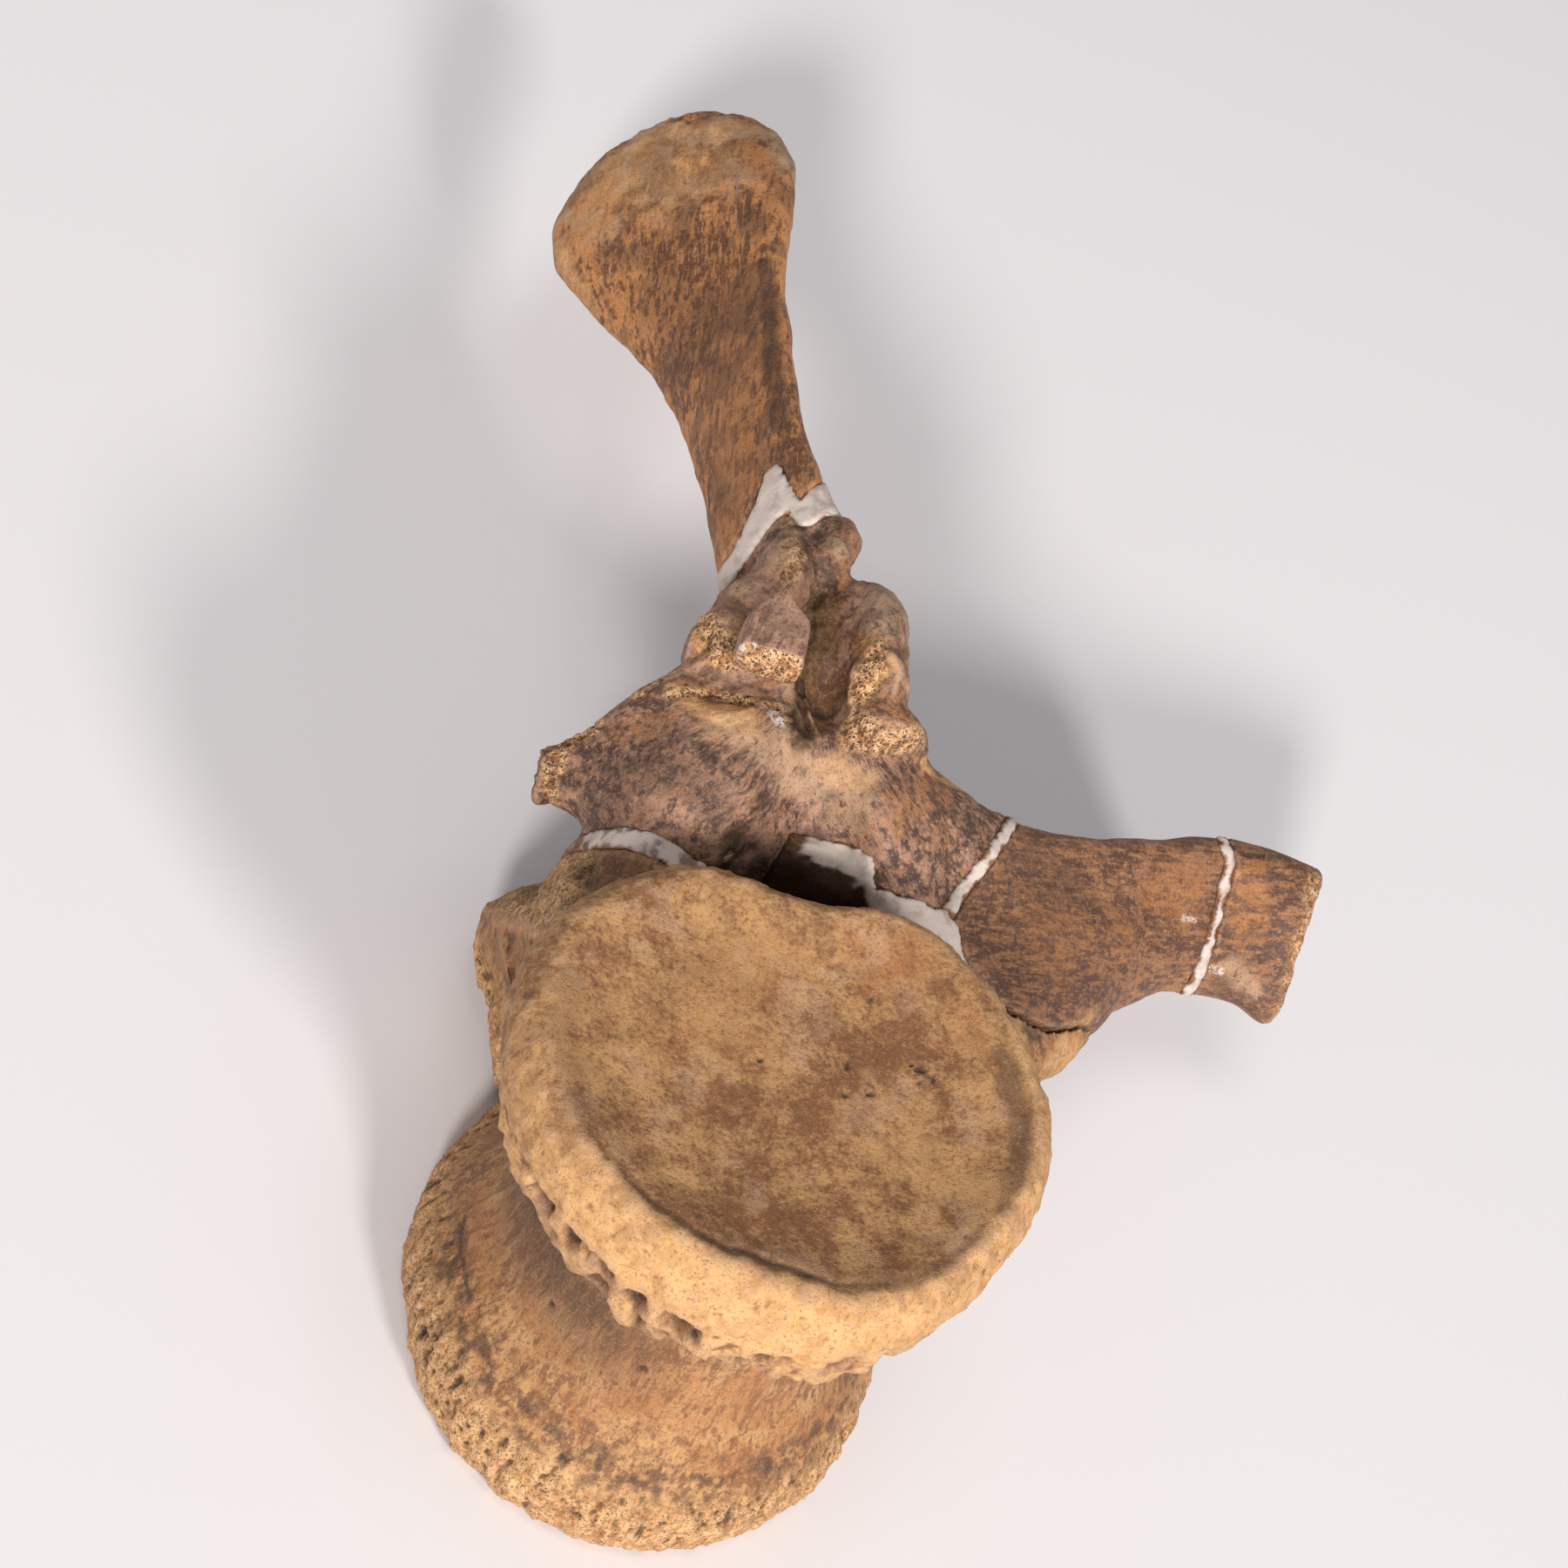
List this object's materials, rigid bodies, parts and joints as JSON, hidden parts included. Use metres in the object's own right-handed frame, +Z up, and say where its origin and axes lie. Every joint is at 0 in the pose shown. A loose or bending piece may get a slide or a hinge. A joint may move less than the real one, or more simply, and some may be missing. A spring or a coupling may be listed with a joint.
{
  "type": "fossil dinosaur vertebra",
  "caption": "Fossil back vertebra with a spool-shaped centrum, a neural arch, a tall paddle-shaped neural spine and one long side process, mended with plaster.",
  "frame": {"origin": "on the surface it rests on, under the centre of the whole vertebra's box", "axes": "+Z up along the centrum, from its rear face, which it stands on, to its front face; +Y towards the top of the neural spine; +X towards the long side process"},
  "size_m": [0.2078, 0.374, 0.1144],
  "materials": {
    "centrum": "worn fossil bone, tan-brown, rugose rims",
    "neural_arch": "fossil bone, purplish brown with tan streaks",
    "neural_spine": "fossil bone, dark brown, tan towards its top",
    "right_process": "fossil bone, dark brown, smooth",
    "right_process_tip": "fossil bone, dark brown, broken end",
    "left_front_plate": "loose chip of fossil bone, glued",
    "plaster_spine_base": "off-white plaster, rubbed smooth",
    "plaster_left_pedicle": "off-white plaster, brown smears",
    "plaster_right_pedicle": "off-white plaster",
    "plaster_process_inner": "off-white plaster",
    "plaster_process_outer": "off-white plaster"
  },
  "bodies": {
    "root": {"centrum": "centrum", "neural_arch": "neural_arch", "neural_spine": "neural_spine", "right_process": "right_process", "right_process_tip": "right_process_tip", "left_front_plate": "left_front_plate", "plaster_spine_base": "plaster_spine_base", "plaster_left_pedicle": "plaster_left_pedicle", "plaster_right_pedicle": "plaster_right_pedicle", "plaster_process_inner": "plaster_process_inner", "plaster_process_outer": "plaster_process_outer"}
  },
  "joints": []
}
